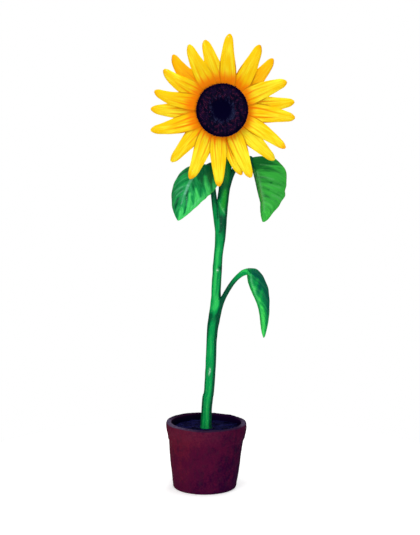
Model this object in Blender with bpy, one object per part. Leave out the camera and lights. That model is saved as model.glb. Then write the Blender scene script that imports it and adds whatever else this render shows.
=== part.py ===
"""A moulded, hand-painted model of a potted sunflower, 1.83 m tall.

Metres, +Z up. The origin is the centre of the pot's flat underside, and the flower faces -Y.
Every object left visible at the end is one closed solid.
"""

import math

import bmesh
import bpy
from mathutils import Matrix, Vector

GAP = 0.0003  # clearance between pieces that meet

# Pot, turned about Z
POT_HEIGHT = 0.272
RIM_RADIUS = 0.165
RIM_MOUTH_RADIUS = 0.1420
RIM_ROUNDING = 0.009
BAND_DEPTH = 0.068  # the thicker band under the rim
BAND_TAPER = 0.006  # how much narrower the band is at its foot
BAND_STEP = 0.0055  # from the band in to the body
BASE_RADIUS = 0.1315
BASE_ROUNDING = 0.008
POT_WALL = 0.016
POT_FLOOR = 0.018
TURNING_STEPS = 48

# Soil, poured in to just below the rim
SOIL_LEVEL = 0.245
SOIL_RELIEF = 0.0025
SOIL_RINGS = 5
STEM_FOOT_PATCH = 0.040  # flat soil that the stem stands on

# Flower head, in its own frame: across, up and forward from the receptacle's face
HEAD_CENTRE = Vector((0.063, -0.085, 1.534))
RECEPTACLE_RADIUS = 0.100
RECEPTACLE_DEPTH = 0.055
NECK_RADIUS = 0.030
DISC_RADIUS = 0.1026
DISC_HUB_RADIUS = 0.076
DISC_RISE = 0.034  # from the disc's underside to its crown
DISC_HOLLOW_RADIUS = 0.047
DISC_HOLLOW_DEPTH = 0.007

# Petals, in three rows one behind the other
PETAL_ROOT_RADIUS = 0.080
PETAL_THICKNESS = 0.0042
PETAL_ROW_PITCH = 0.0048
PETAL_SHOULDER = 0.28  # share of the length where a petal is widest
PETAL_ROOT_WIDTH = 0.62  # share of the full width at the root
PETAL_TIP_NARROWING = 0.626
PETAL_TAPER = 1.52  # above 1 a petal keeps its width for longer before it narrows
PETAL_TIP_ROUNDING = 0.117  # share of the length that the round tip takes
PETAL_MIDWAY = 0.45  # share of the length at which the middle bearing is read
PETAL_DISH_START = 0.103
PETAL_DISH = 0.034  # how far the petals cup forward
PETAL_DISH_RUN = 0.197  # radius over which they do so
PETAL_FREE_RADIUS = 0.150  # petals stand apart from here on
PETAL_SHARED_RADII = (0.080, 0.103, 0.117, 0.133, PETAL_FREE_RADIUS)
PETAL_FREE_SHARES = (0.3, 0.58, 0.8, 0.915, 0.965, 0.992)
PETAL_COLUMNS = 4
BACK, MIDDLE, FRONT = 0, 1, 2
# Bearings clockwise from the top at the root, midway and at the tip; reach; width; row; lift of the tip
PETALS = (
    (14, 7, 5.5, 0.292, 0.064, FRONT, 0.006),
    (40, 34.5, 30.5, 0.288, 0.070, MIDDLE, 0.004),
    (50, 48.5, 45, 0.279, 0.065, BACK, -0.012),
    (63, 64, 66.5, 0.271, 0.073, FRONT, 0.010),
    (81, 83, 83.5, 0.282, 0.067, BACK, -0.006),
    (93, 94.7, 96, 0.284, 0.073, MIDDLE, 0.000),
    (113, 117, 121, 0.286, 0.062, FRONT, 0.004),
    (133, 134, 134, 0.281, 0.065, BACK, -0.010),
    (153, 156.2, 156.7, 0.284, 0.068, FRONT, 0.012),
    (166, 167, 163.3, 0.263, 0.058, BACK, -0.014),
    (190, 185, 182.7, 0.296, 0.067, FRONT, 0.006),
    (215, 207.3, 205.5, 0.295, 0.069, MIDDLE, 0.002),
    (234, 228, 225, 0.282, 0.065, BACK, -0.009),
    (250, 251, 254.2, 0.289, 0.070, MIDDLE, -0.002),
    (270, 269.6, 271, 0.278, 0.068, BACK, -0.011),
    (288, 283.2, 285.3, 0.272, 0.066, FRONT, 0.010),
    (308, 302.6, 304.2, 0.274, 0.070, MIDDLE, 0.002),
    (318, 313.8, 318, 0.286, 0.070, BACK, -0.016),
    (333, 331, 332.6, 0.281, 0.068, FRONT, 0.008),
    (354, 348.6, 346, 0.276, 0.069, MIDDLE, -0.003),
)

# Bracts, the green scales behind the petals, in two rings
BRACTS_A_RING = 11
BRACT_RINGS = ((0.052, 0.124, 0.040, -0.044), (0.070, 0.134, 0.036, -0.033))  # root, reach, width, depth
BRACT_TIP_DEPTH = -0.006
BRACT_THICKNESS = 0.004
BRACT_ROWS, BRACT_COLUMNS = 4, 2

# Stem: places along its middle line with the radius there, from the soil to the receptacle's neck
STEM_PLACES = (
    (-0.0005, 0.000, SOIL_LEVEL + GAP, 0.0250),
    (-0.0005, 0.000, 0.262, 0.0232),
    (0.0020, 0.000, 0.330, 0.0222),
    (0.0072, 0.001, 0.385, 0.0228),
    (0.0122, 0.002, 0.415, 0.0213),
    (0.0185, 0.004, 0.510, 0.0213),
    (0.0220, 0.005, 0.600, 0.0211),
    (0.0258, 0.005, 0.655, 0.0225),
    (0.0328, 0.004, 0.700, 0.0237),
    (0.0396, 0.004, 0.753, 0.0228),
    (0.0425, 0.004, 0.795, 0.0194),
    (0.0438, 0.005, 0.833, 0.0190),
    (0.0468, 0.005, 0.877, 0.0186),
    (0.0482, 0.006, 0.914, 0.0184),
    (0.0506, 0.007, 0.955, 0.0180),
    (0.0545, 0.008, 0.996, 0.0192),
    (0.0577, 0.008, 1.036, 0.0220),
    (0.0610, 0.008, 1.100, 0.0238),
    (0.0672, 0.008, 1.165, 0.0240),
    (0.0750, 0.009, 1.225, 0.0238),
    (0.0810, 0.011, 1.290, 0.0235),
    (0.0800, 0.013, 1.370, 0.0225),
    (0.0710, 0.017, 1.440, 0.0225),
    (0.0660, 0.012, 1.490, 0.0235),
    (0.0636, -0.004, 1.524, 0.0255),
    (0.0630, HEAD_CENTRE.y + RECEPTACLE_DEPTH + GAP, 1.534, 0.0270),
)
STEM_SIDES = 14

# Leaf stalks, each from inside the stem to the foot of its leaf's midrib
STALK_SIDES = 10
STALKS = {
    "stalk_upper_left": (
        (0.0540, 0.006, 1.030, 0.0090),
        (0.0450, 0.005, 1.065, 0.0120),
        (0.0400, 0.004, 1.100, 0.0125),
        (0.0370, 0.003, 1.150, 0.0122),
        (0.0328, 0.004, 1.195, 0.0115),
        (0.0285, 0.005, 1.235, 0.0108),
        (0.0275, 0.002, 1.275, 0.0102),
        (0.0262, -0.012, 1.305, 0.0098),
        (0.0215, -0.030, 1.320, 0.0094),
    ),
    "stalk_upper_right": (
        (0.0730, 0.004, 1.150, 0.0070),
        (0.0830, 0.004, 1.195, 0.0100),
        (0.0928, 0.005, 1.235, 0.0102),
        (0.1045, 0.006, 1.275, 0.0100),
        (0.1210, 0.004, 1.310, 0.0096),
        (0.1430, -0.003, 1.334, 0.0092),
        (0.1752, -0.012, 1.3467, 0.0088),
    ),
    "stalk_lower_right": (
        (0.0400, 0.002, 0.700, 0.0100),
        (0.0515, 0.000, 0.743, 0.0125),
        (0.0665, -0.003, 0.780, 0.0110),
        (0.0840, -0.007, 0.8135, 0.0100),
        (0.1050, -0.011, 0.8460, 0.0100),
        (0.1275, -0.015, 0.8720, 0.0112),
        (0.1490, -0.019, 0.8885, 0.0122),
        (0.1676, -0.022, 0.8930, 0.0128),
    ),
}

# Leaves
LEAF_THICKNESS = 0.0045
LEAF_ROW_SHARES = (0, 0.012, 0.04, 0.08, 0.14, 0.21, 0.3, 0.4, 0.5, 0.6, 0.7, 0.8, 0.88, 0.95, 1)
LEAF_HALF_COLUMNS = 4
LEAF_CURL = 0.35  # extra fold towards the margin, in radians
LEAF_OVERLAP = 0.003  # how far a blade starts inside its stalk before it is cut clear
LEAF_FOOT_SHARE = 0.32  # share of its width that a leaf's foot starts with
LEAF_THINNING = 1.5  # thickness over the grid's edge, at most, where foot and tip crowd the grid
LEAF_LOBE_RUN = 0.4  # share of the length over which a lobe is swept back past the foot
# Midrib places, then for the -X and the +X half: the fold away from the face in degrees, the share of
# the length in which its foot rounds out, how far its lobe is swept back past the foot, and its width
# at even shares of the length
LEAVES = {
    "leaf_upper_left": (
        ((0.0215, -0.030, 1.3200), (-0.0083, -0.046, 1.3116), (-0.0380, -0.056, 1.2921),
         (-0.0609, -0.064, 1.2608), (-0.0786, -0.070, 1.2215), (-0.0929, -0.073, 1.1782),
         (-0.1026, -0.072, 1.1385), (-0.1111, -0.068, 1.0997)),
        (46, 0.16, -0.020, (0.023, 0.044, 0.067, 0.086, 0.098, 0.099, 0.081, 0.053, 0.006)),
        (16, 0.12, 0.012, (0.085, 0.103, 0.114, 0.111, 0.101, 0.085, 0.063, 0.037, 0.006)),
    ),
    "leaf_upper_right": (
        ((0.1752, -0.012, 1.3467), (0.1882, -0.020, 1.3249), (0.1948, -0.028, 1.2953),
         (0.2019, -0.034, 1.2558), (0.2107, -0.038, 1.2142), (0.2184, -0.039, 1.1724),
         (0.2230, -0.037, 1.1324), (0.2286, -0.032, 1.0909)),
        (78, 0.06, 0.007, (0.048, 0.072, 0.092, 0.098, 0.094, 0.082, 0.064, 0.040, 0.006)),
        (14, 0.12, 0.001, (0.073, 0.101, 0.118, 0.132, 0.128, 0.118, 0.099, 0.056, 0.006)),
    ),
    "leaf_lower_right": (
        ((0.1676, -0.022, 0.8930), (0.1764, -0.0255, 0.8841), (0.1800, -0.030, 0.8506),
         (0.1941, -0.035, 0.8079), (0.2098, -0.039, 0.7682), (0.2203, -0.041, 0.7300),
         (0.2274, -0.040, 0.6932), (0.2317, -0.038, 0.6562), (0.2327, -0.036, 0.6240)),
        (64, 0.12, 0.000, (0.037, 0.043, 0.043, 0.036, 0.029, 0.029, 0.036, 0.032, 0.006)),
        (26, 0.09, 0.012, (0.020, 0.041, 0.066, 0.070, 0.058, 0.044, 0.030, 0.016, 0.006)),
    ),
}

PAINTS = {  # base colour, roughness
    "terracotta_paint": ((0.10, 0.012, 0.020, 1), 0.75),
    "soil_paint": ((0.008, 0.006, 0.012, 1), 0.9),
    "stem_paint": ((0.010, 0.25, 0.035, 1), 0.45),
    "leaf_paint": ((0.015, 0.28, 0.04, 1), 0.45),
    "petal_paint": ((0.90, 0.55, 0.010, 1), 0.45),
    "disc_paint": ((0.012, 0.004, 0.010, 1), 0.7),
}


# --- small helpers -------------------------------------------------------------------------------


def clear_scene():
    for obj in list(bpy.data.objects):
        bpy.data.objects.remove(obj)


def paint(name):
    """The named paint as a Principled material."""
    found = bpy.data.materials.get(name)
    if found:
        return found
    colour, roughness = PAINTS[name]
    made = bpy.data.materials.new(name)
    made.use_nodes = True
    shader = made.node_tree.nodes["Principled BSDF"]
    shader.inputs["Base Color"].default_value = colour
    shader.inputs["Roughness"].default_value = roughness
    return made


def add_object(name, bm, paint_name, smooth=True):
    """Puts a finished bmesh into the scene as a named object."""
    mesh = bpy.data.meshes.new(name)
    bm.to_mesh(mesh)
    bm.free()
    if smooth:
        mesh.shade_smooth()
        mesh.set_sharp_from_angle(angle=math.radians(40))
    mesh.materials.append(paint(paint_name))
    obj = bpy.data.objects.new(name, mesh)
    bpy.context.scene.collection.objects.link(obj)
    return obj


def make_helper(obj):
    """A cutter or an ingredient, which isn't a piece of the object."""
    obj.hide_render = True
    obj.display_type = "WIRE"


def apply_modifiers(obj):
    graph = bpy.context.evaluated_depsgraph_get()
    made = bpy.data.meshes.new_from_object(obj.evaluated_get(graph))
    obj.modifiers.clear()
    obj.data = made


def turn_profile(name, profile, paint_name, steps=TURNING_STEPS):
    """A solid of revolution about Z. The profile of (radius, height) runs down the outside."""
    bm = bmesh.new()
    points = [bm.verts.new((radius, 0, height)) for radius, height in profile]
    edges = [bm.edges.new(pair) for pair in zip(points, points[1:])]
    bmesh.ops.spin(
        bm, geom=points + edges, cent=(0, 0, 0), axis=(0, 0, 1), angle=math.tau, steps=steps, use_merge=True
    )
    bmesh.ops.remove_doubles(bm, verts=bm.verts, dist=1e-6)
    bmesh.ops.recalc_face_normals(bm, faces=bm.faces)
    return add_object(name, bm, paint_name)


def rounded_corner(centre, radius, start, end, count=4):
    """Points of an arc in the (radius, height) plane, angles in degrees from the outward direction."""
    angles = [math.radians(start + (end - start) * i / count) for i in range(count + 1)]
    return [(centre[0] + radius * math.cos(a), centre[1] + radius * math.sin(a)) for a in angles]


def place_on_path(places, share):
    """The point at a share, 0 to 1, of a Catmull-Rom curve through places of any dimension."""
    rows = [Vector(p) for p in places]
    ends = [2 * rows[0] - rows[1]] + rows + [2 * rows[-1] - rows[-2]]
    place = min(max(share, 0), 1) * (len(rows) - 1)
    index = min(int(place), len(rows) - 2)
    t = place - index
    a, b, c, d = ends[index : index + 4]
    square = 2 * a - 5 * b + 4 * c - d
    cube = 3 * b - a - 3 * c + d
    return 0.5 * (2 * b + (c - a) * t + square * t**2 + cube * t**3)


def smooth_path(places, subdivisions):
    """The curve through the places as a list, with that many points for each stretch."""
    count = subdivisions * (len(places) - 1)
    return [place_on_path(places, i / count) for i in range(count + 1)]


def carried_frames(path, first_side):
    """(tangent, side) at each point of a path, the side carried along without twist."""
    frames = []
    side = Vector(first_side)
    for i in range(len(path)):
        tangent = (path[min(i + 1, len(path) - 1)] - path[max(i - 1, 0)]).normalized()
        side = (side - side.dot(tangent) * tangent).normalized()
        frames.append((tangent, side))
    return frames


def tube(name, places, paint_name, sides, subdivisions, extra=0.0, start=None, end=None):
    """A round tube through (x, y, z, radius) places. start and end are the directions of its flat ends."""
    rows = smooth_path([Vector(p) for p in places], subdivisions)
    path = [Vector(r[:3]) for r in rows]
    frames = carried_frames(path, (1, 0, 0))
    for index, direction in ((0, start), (-1, end)):
        if direction:
            tangent = Vector(direction)
            side = frames[index][1]
            frames[index] = (tangent, (side - side.dot(tangent) * tangent).normalized())
    bm = bmesh.new()
    rings = []
    for centre, row, (tangent, side) in zip(path, rows, frames):
        other = tangent.cross(side)
        radius = row[3] + extra
        ring = []
        for i in range(sides):
            angle = math.tau * i / sides
            ring.append(bm.verts.new(centre + radius * (side * math.cos(angle) + other * math.sin(angle))))
        rings.append(ring)
    for low, high in zip(rings, rings[1:]):
        for i in range(sides):
            j = (i + 1) % sides
            bm.faces.new((low[i], low[j], high[j], high[i]))
    bm.faces.new(rings[0][::-1])
    bm.faces.new(rings[-1])
    return add_object(name, bm, paint_name)


def sheet(name, grid, thickness, paint_name):
    """A closed thin blade: a grid of points given thickness evenly to both sides."""
    bm = bmesh.new()
    verts = [[bm.verts.new(p) for p in row] for row in grid]
    for low, high in zip(verts, verts[1:]):
        for i in range(len(low) - 1):
            bm.faces.new((low[i], low[i + 1], high[i + 1], high[i]))
    obj = add_object(name, bm, paint_name)
    solidify = obj.modifiers.new("thickness", "SOLIDIFY")
    solidify.thickness = thickness
    solidify.offset = 0
    return obj


# --- pot and soil --------------------------------------------------------------------------------


def inner_radius(height):
    """Radius of the pot's inside wall at a height."""
    share = (height - POT_FLOOR) / (POT_HEIGHT - POT_FLOOR)
    foot = BASE_RADIUS - POT_WALL
    return foot + (RIM_MOUTH_RADIUS - foot) * share


def pot():
    band_foot = POT_HEIGHT - BAND_DEPTH
    band_radius = RIM_RADIUS - BAND_TAPER
    body_radius = band_radius - BAND_STEP
    outer_corner = (RIM_RADIUS - RIM_ROUNDING, POT_HEIGHT - RIM_ROUNDING)
    inner_corner = (RIM_MOUTH_RADIUS + RIM_ROUNDING, POT_HEIGHT - RIM_ROUNDING)
    base_corner = (BASE_RADIUS - BASE_ROUNDING, BASE_ROUNDING)
    profile = [(0, POT_FLOOR), (inner_radius(POT_FLOOR), POT_FLOOR)]
    profile += rounded_corner(inner_corner, RIM_ROUNDING, 180, 90)
    profile += rounded_corner(outer_corner, RIM_ROUNDING, 90, 0)
    profile += [(band_radius, band_foot + 0.006), (band_radius - 0.002, band_foot)]
    profile += [(body_radius, band_foot - 0.007)]
    profile += rounded_corner(base_corner, BASE_ROUNDING, 0, -90)
    profile += [(0, 0)]
    return turn_profile("pot", profile, "terracotta_paint")


def soil():
    """The fill: a taper that clears the pot's wall, with a gently uneven top."""
    top_radius = inner_radius(SOIL_LEVEL) - GAP
    foot = POT_FLOOR + GAP
    profile = [(0, SOIL_LEVEL), (STEM_FOOT_PATCH, SOIL_LEVEL)]
    for i in range(1, SOIL_RINGS + 1):
        profile.append((STEM_FOOT_PATCH + (top_radius - STEM_FOOT_PATCH) * i / SOIL_RINGS, SOIL_LEVEL))
    profile += [(inner_radius(foot) - GAP, foot), (0, foot)]
    fill = turn_profile("soil", profile, "soil_paint", steps=TURNING_STEPS // 2)
    for vert in fill.data.vertices:
        radius = math.hypot(vert.co.x, vert.co.y)
        if vert.co.z > SOIL_LEVEL - GAP and STEM_FOOT_PATCH + GAP < radius < top_radius - GAP:
            bearing = math.atan2(vert.co.y, vert.co.x)
            swell = math.sin(3 * bearing + 60 * radius) + 0.7 * math.sin(7 * bearing - 90 * radius)
            vert.co.z += SOIL_RELIEF * swell / 1.7
    return fill


# --- flower head ---------------------------------------------------------------------------------


def head_point(across, up, forward):
    """From the head's frame to the plant's. The head looks along -Y."""
    return HEAD_CENTRE + Vector((across, -forward, up))


def face_head_forward(obj):
    """Turns a shape made about Z, whose top is the flower's face, to look along -Y."""
    turn = Matrix.Rotation(math.radians(90), 4, "X")
    obj.data.transform(Matrix.Translation(HEAD_CENTRE) @ turn)


def row_depth(row):
    """How far forward of the receptacle's face a row of petals has its middle surface."""
    return GAP + PETAL_THICKNESS / 2 + row * PETAL_ROW_PITCH


def disc_underside():
    return row_depth(FRONT) + PETAL_THICKNESS / 2 + GAP


def receptacle_radius(depth):
    """Outer radius of the receptacle's bowl at a depth behind its face, as a round shoulder into a neck."""
    share = min(max(-depth / RECEPTACLE_DEPTH, 0), 1)
    return NECK_RADIUS + (RECEPTACLE_RADIUS - NECK_RADIUS) * math.cos(share * math.pi / 2) ** 0.8


def calyx():
    """The receptacle with its two rings of bracts, joined into one solid."""
    levels = [i / 7 for i in range(8)]
    profile = [(0, 0), (RECEPTACLE_RADIUS - 0.003, 0)]
    profile += [(receptacle_radius(-RECEPTACLE_DEPTH * s), -RECEPTACLE_DEPTH * s) for s in levels[1:]]
    profile += [(0, -RECEPTACLE_DEPTH)]
    bowl = turn_profile("calyx", profile, "leaf_paint", steps=36)
    face_head_forward(bowl)
    scales = bpy.data.collections.new("bracts")
    bpy.context.scene.collection.children.link(scales)
    for ring, (root, reach, width, depth) in enumerate(BRACT_RINGS):
        for i in range(BRACTS_A_RING):
            bearing = math.tau * (i + 0.5 * ring) / BRACTS_A_RING
            grid = bract_grid(bearing, root, reach, width, depth)
            scale = sheet(f"bract_{ring}_{i}", grid, BRACT_THICKNESS, "leaf_paint")
            apply_modifiers(scale)
            bpy.context.scene.collection.objects.unlink(scale)
            scales.objects.link(scale)
            make_helper(scale)
    join = bowl.modifiers.new("bracts", "BOOLEAN")
    join.operation = "UNION"
    join.operand_type = "COLLECTION"
    join.collection = scales
    join.solver = "MANIFOLD"
    bpy.context.view_layer.update()
    apply_modifiers(bowl)
    for scale in list(scales.objects):
        bpy.data.objects.remove(scale)
    bpy.data.collections.remove(scales)
    return bowl


def bract_grid(bearing, root, reach, width, depth):
    """A pointed scale that starts sunk in the bowl and lies back against the petals."""
    outward = Vector((math.sin(bearing), math.cos(bearing)))
    aside = Vector((outward.y, -outward.x))
    grid = []
    for i in range(BRACT_ROWS + 1):
        along = i / BRACT_ROWS
        radius = root + (reach - root) * along
        half = width / 2 * max(math.cos(along * math.pi / 2) ** 0.7, 0.08)
        forward = depth + (BRACT_TIP_DEPTH - depth) * math.sin(along * math.pi / 2) ** 1.3
        row = []
        for j in range(BRACT_COLUMNS + 1):
            side = 2 * j / BRACT_COLUMNS - 1
            flat = outward * radius + aside * (half * side)
            row.append(head_point(flat.x, flat.y, forward - 0.003 * (1 - side**2)))
        grid.append(row)
    return grid


def seed_disc():
    """The disc: a hub on the receptacle, a round cushion over the petals' roots and a hollow centre."""
    under = disc_underside()
    crown = under + DISC_RISE
    edge = DISC_RISE * 0.38
    profile = [(0, crown - DISC_HOLLOW_DEPTH), (DISC_HOLLOW_RADIUS * 0.5, crown - DISC_HOLLOW_DEPTH * 0.85)]
    profile += [(DISC_HOLLOW_RADIUS, crown - DISC_HOLLOW_DEPTH * 0.2), (DISC_RADIUS * 0.62, crown)]
    crown_run = DISC_RADIUS * 0.38
    for i in range(1, 7):
        angle = math.radians(15 * i)
        rise = crown - (DISC_RISE - edge) * (1 - math.cos(angle))
        profile.append((DISC_RADIUS - crown_run * (1 - math.sin(angle)), rise))
    profile += [(DISC_RADIUS - 0.002, under + edge * 0.35), (DISC_RADIUS - 0.008, under)]
    profile += [(DISC_HUB_RADIUS, under), (DISC_HUB_RADIUS, GAP), (0, GAP)]
    disc = turn_profile("seed_disc", profile, "disc_paint", steps=40)
    face_head_forward(disc)
    return disc


def petal_half_width(along, width):
    """Half width at a share of the length: a narrow root, full shoulders, then a taper to a round tip."""
    if along < PETAL_SHOULDER:
        rise = math.sin(along / PETAL_SHOULDER * math.pi / 2)
        share = PETAL_ROOT_WIDTH + (1 - PETAL_ROOT_WIDTH) * rise
    else:
        beyond = (along - PETAL_SHOULDER) / (1 - PETAL_SHOULDER)
        share = 1 - PETAL_TIP_NARROWING * max(beyond, 0) ** PETAL_TAPER
    into_tip = max((along - 1 + PETAL_TIP_ROUNDING) / PETAL_TIP_ROUNDING, 0)
    return width / 2 * share * math.sqrt(max(1 - into_tip**2, 0))


def petal_bearing(along, root, midway, tip):
    """The middle line's bearing in radians: a parabola through the three given bearings."""
    m = PETAL_MIDWAY
    weights = (
        (along - m) * (along - 1) / m,
        along * (along - 1) / (m * (m - 1)),
        along * (along - m) / (1 - m),
    )
    return math.radians(weights[0] * root + weights[1] * midway + weights[2] * tip)


def dish_depth(radius):
    """How far the petals cup forward at a radius: flat under the disc, then a rise that levels off."""
    share = max(radius - PETAL_DISH_START, 0) / PETAL_DISH_RUN
    return PETAL_DISH * math.sin(min(share, 1.2) * 0.62 * math.pi)


def petal_grid(root, midway, tip, reach, width, row, lift):
    """Rows of points along arcs about the head's centre, which all petals share where they overlap."""
    radii = list(PETAL_SHARED_RADII)
    radii += [PETAL_FREE_RADIUS + (reach - PETAL_FREE_RADIUS) * share for share in PETAL_FREE_SHARES]
    grid = []
    for radius in radii:
        along = (radius - PETAL_ROOT_RADIUS) / (reach - PETAL_ROOT_RADIUS)
        bearing = petal_bearing(along, root, midway, tip)
        spread = petal_half_width(along, width) / radius
        free = max(radius - PETAL_FREE_RADIUS, 0) / (reach - PETAL_FREE_RADIUS)
        forward = row_depth(row) + dish_depth(radius) + lift * free**2
        line = []
        for j in range(PETAL_COLUMNS + 1):
            angle = bearing + spread * (2 * j / PETAL_COLUMNS - 1)
            line.append(head_point(radius * math.sin(angle), radius * math.cos(angle), forward))
        grid.append(line)
    return grid


def petals():
    for number, petal in enumerate(PETALS, start=1):
        sheet(f"petal_{number:02d}", petal_grid(*petal), PETAL_THICKNESS, "petal_paint")


# --- stem, stalks and leaves ---------------------------------------------------------------------


def stem_tube(name, extra):
    ends = {"start": (0, 0, 1), "end": (0, -1, 0)}
    return tube(name, STEM_PLACES, "stem_paint", STEM_SIDES, 2, extra=extra, **ends)


def stalks():
    """Each stalk starts inside the stem and is cut back to clear it."""
    cutter = stem_tube("stem_clearance", GAP)
    make_helper(cutter)
    for name, places in STALKS.items():
        cut_clear(tube(name, places, "stem_paint", STALK_SIDES, 2), cutter)


def cut_clear(obj, cutter):
    cut = obj.modifiers.new("clearance", "BOOLEAN")
    cut.operation = "DIFFERENCE"
    cut.object = cutter
    cut.solver = "MANIFOLD"


def leaf_half_width(share, foot, widths):
    """Half width at a share of the length: a curve through the widths, rounded out from the foot."""
    rounding = math.sqrt(1 - (1 - min(share / foot, 1)) ** 2 * (1 - LEAF_FOOT_SHARE**2))
    return place_on_path([(width, 0) for width in widths], share).x * rounding


def leaf_grid(places, left, right):
    """Rows of points across a blade that folds away on both sides of its midrib."""
    grid = []
    for share in LEAF_ROW_SHARES:
        centre = place_on_path(places, share)
        tangent = (place_on_path(places, share + 1 / 3) - place_on_path(places, share - 1 / 3)).normalized()
        side = Vector((-tangent.z, 0, tangent.x)).normalized()
        face = tangent.cross(side)
        if share == 0:
            centre = centre - tangent * LEAF_OVERLAP
        row = []
        for j in range(-LEAF_HALF_COLUMNS, LEAF_HALF_COLUMNS + 1):
            fold, foot, lobe, widths = left if j < 0 else right
            out = abs(j) / LEAF_HALF_COLUMNS
            angle = math.radians(fold) + LEAF_CURL * (out - 0.5)
            step = side * math.copysign(math.cos(angle), j) - face * math.sin(angle)
            swept = tangent * (lobe * out**1.5 * max(1 - share / LEAF_LOBE_RUN, 0) ** 2)
            row.append(centre + step * (leaf_half_width(share, foot, widths) * out) - swept)
        grid.append(row)
    return grid


def leaves():
    for name, blade in LEAVES.items():
        stalk = STALKS[name.replace("leaf", "stalk")]
        cutter = tube(f"{name}_clearance", stalk, "stem_paint", STALK_SIDES, 2, extra=GAP)
        make_helper(cutter)
        leaf = sheet(name, leaf_grid(*blade), LEAF_THICKNESS, "leaf_paint")
        leaf.modifiers["thickness"].thickness_clamp = LEAF_THINNING
        cut_clear(leaf, cutter)


clear_scene()
pot()
soil()
stem_tube("stem", 0.0)
stalks()
leaves()
calyx()
seed_disc()
petals()
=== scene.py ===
# Dresses a potted model sunflower: petals, seed disc, calyx, stem, leaves, pot and soil
from math import pi, radians, tau

import bpy
import numpy as np
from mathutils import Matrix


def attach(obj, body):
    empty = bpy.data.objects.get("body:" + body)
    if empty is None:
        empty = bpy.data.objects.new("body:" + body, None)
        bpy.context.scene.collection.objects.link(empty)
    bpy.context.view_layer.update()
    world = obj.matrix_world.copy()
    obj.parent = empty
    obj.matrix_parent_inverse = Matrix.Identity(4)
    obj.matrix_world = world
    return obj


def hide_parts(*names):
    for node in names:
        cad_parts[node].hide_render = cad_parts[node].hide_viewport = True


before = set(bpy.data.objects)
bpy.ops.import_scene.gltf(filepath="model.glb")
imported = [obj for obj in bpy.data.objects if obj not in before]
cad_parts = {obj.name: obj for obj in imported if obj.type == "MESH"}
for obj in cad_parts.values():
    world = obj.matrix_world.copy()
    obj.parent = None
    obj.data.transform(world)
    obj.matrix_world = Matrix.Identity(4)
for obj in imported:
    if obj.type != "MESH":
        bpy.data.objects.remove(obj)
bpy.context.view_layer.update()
print("frame loaded:", len(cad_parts), "nodes")


class Values(dict):
    # a dictionary that also gives its values as attributes
    __getattr__ = dict.__getitem__


def limit(value):
    return np.clip(value, 0, 1)


def smooth(low, high, value):
    # an eased step from 0 at low to 1 at high
    share = limit((value - low) / (high - low))
    return share * share * (3 - 2 * share)


def between(rise, full, fade, end, value):
    # an eased step up from rise to full, times one down from fade to end
    return smooth(rise, full, value) * smooth(end, fade, value)


def bell(value, width):
    # 1 at zero, falling to nothing over about twice the width
    return np.exp(-(value / width) ** 2)


def ripple(x, y, z, pitch, seed, waves=14):
    # soft unevenness about -1 to 1: plane waves in random directions added up, their length near the pitch
    rng = np.random.default_rng(seed)
    total = np.zeros(np.broadcast(x, y, z).shape)
    for i in range(waves):
        way = rng.normal(size=3)
        way *= tau / pitch * rng.uniform(0.6, 1.5) / np.linalg.norm(way)
        total = total + np.sin(way[0] * x + way[1] * y + way[2] * z + rng.uniform(0, tau))
    return total / np.sqrt(waves)


def alongCurve(places, share):
    # Catmull-Rom: the share picks a stretch, and a cubic of its four nearest places fills it
    places = np.asarray(places, float)
    ends = np.vstack([2 * places[0] - places[1], places, 2 * places[-1] - places[-2]])
    place = limit(share) * (len(places) - 1)
    k = np.minimum(place.astype(int), len(places) - 2)
    t = (place - k)[..., None]
    a, b, c, d = ends[k], ends[k + 1], ends[k + 2], ends[k + 3]
    return 0.5 * (2 * b + (c - a) * t + (2 * a - 5 * b + 4 * c - d) * t**2 + (3 * b - a - 3 * c + d) * t**3)


def brush(across, along, stretch, strokes):
    # soft strokes added up, each fading from its line; the stretch weighs along against across
    total = np.zeros(np.broadcast(across, along).shape)
    for x0, y0, x1, y1, width, strength in np.array(strokes) / 100:
        dx, dy = x1 - x0, (y1 - y0) * stretch
        px, py = across - x0, (along - y0) * stretch
        place = limit((px * dx + py * dy) / (dx * dx + dy * dy))
        total = total + strength * bell(np.hypot(px - place * dx, py - place * dy), width)
    return total


def unit(vectors):
    return vectors / np.maximum(np.linalg.norm(vectors, axis=-1, keepdims=True), 1e-9)


def stack(*parts):
    return np.stack(np.broadcast_arrays(*parts), axis=-1)


def turned(count):
    # a row of even bearings all round
    return np.linspace(0, tau, count, endpoint=False)[None, :]


def ringFaces(n, m):
    # the four-sided faces between n rings of m points
    i, j = np.meshgrid(np.arange(n - 1), np.arange(m), indexing="ij")
    k = (j + 1) % m
    return stack(i * m + j, i * m + k, (i + 1) * m + k, (i + 1) * m + j).reshape(-1, 4)


def closedForm(rings, flow=0, marks=0):
    # rings of points (n, m, 3) joined into a skin, each end drawn to a pole at its middle
    n, m = rings.shape[:2]
    def spread(values):
        values = np.broadcast_to(values, (n, m, 3))
        return np.vstack([values[0].mean(0), values.reshape(-1, 3), values[-1].mean(0)])
    j = np.arange(m)
    k = (j + 1) % m
    last = 1 + (n - 1) * m
    fans = np.vstack([stack(0, 1 + k, 1 + j), stack(n * m + 1, last + j, last + k)])
    return Values(points=spread(rings), flow=spread(flow), marks=spread(marks),
                  faces=(1 + ringFaces(n, m), fans))


def addThing(name, content, place=(0, 0, 0), turn=(0, 0, 0)):
    thing = bpy.data.objects.new(name, content)
    thing.location, thing.rotation_euler = place, turn
    bpy.context.scene.collection.objects.link(thing)
    return thing


def addMesh(name, points, faces, paint):
    mesh = bpy.data.meshes.new(name)
    mesh.from_pydata(points.tolist(), [], faces)
    mesh.materials.append(paint)
    return addThing(name, mesh)


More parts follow.
